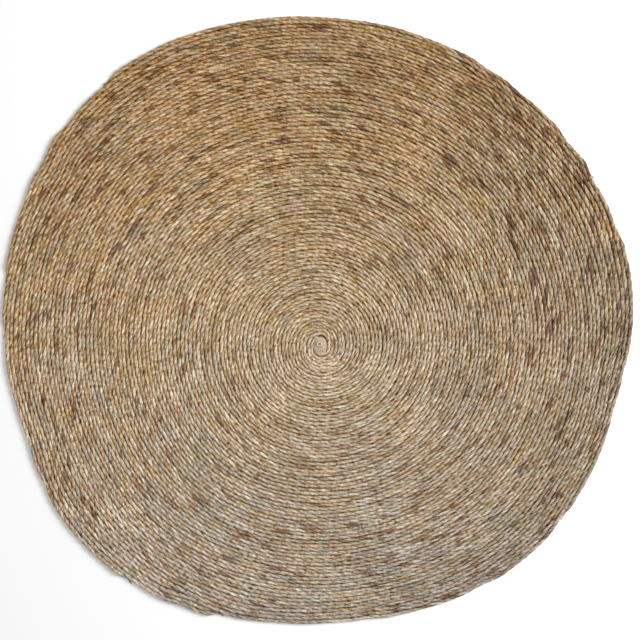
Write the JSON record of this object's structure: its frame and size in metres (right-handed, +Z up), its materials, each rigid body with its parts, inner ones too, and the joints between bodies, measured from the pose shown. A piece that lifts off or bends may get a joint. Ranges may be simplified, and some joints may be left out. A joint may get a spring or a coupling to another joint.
{
  "type": "round seagrass mat",
  "caption": "Round floor mat coiled from two twisted seagrass ropes, flat, ribbed on its face, with an uneven hand-made rim.",
  "frame": {"origin": "on the floor, under the middle of the mat's box; the coil's own middle lies 50 mm towards -Y of it", "axes": "+Z up out of the face, +X across the widest part, +Y across the face"},
  "size_m": [1.1993, 1.1549, 0.008],
  "materials": {
    "seagrass": "matte"
  },
  "bodies": {
    "root": {"mat": "seagrass"}
  },
  "joints": []
}
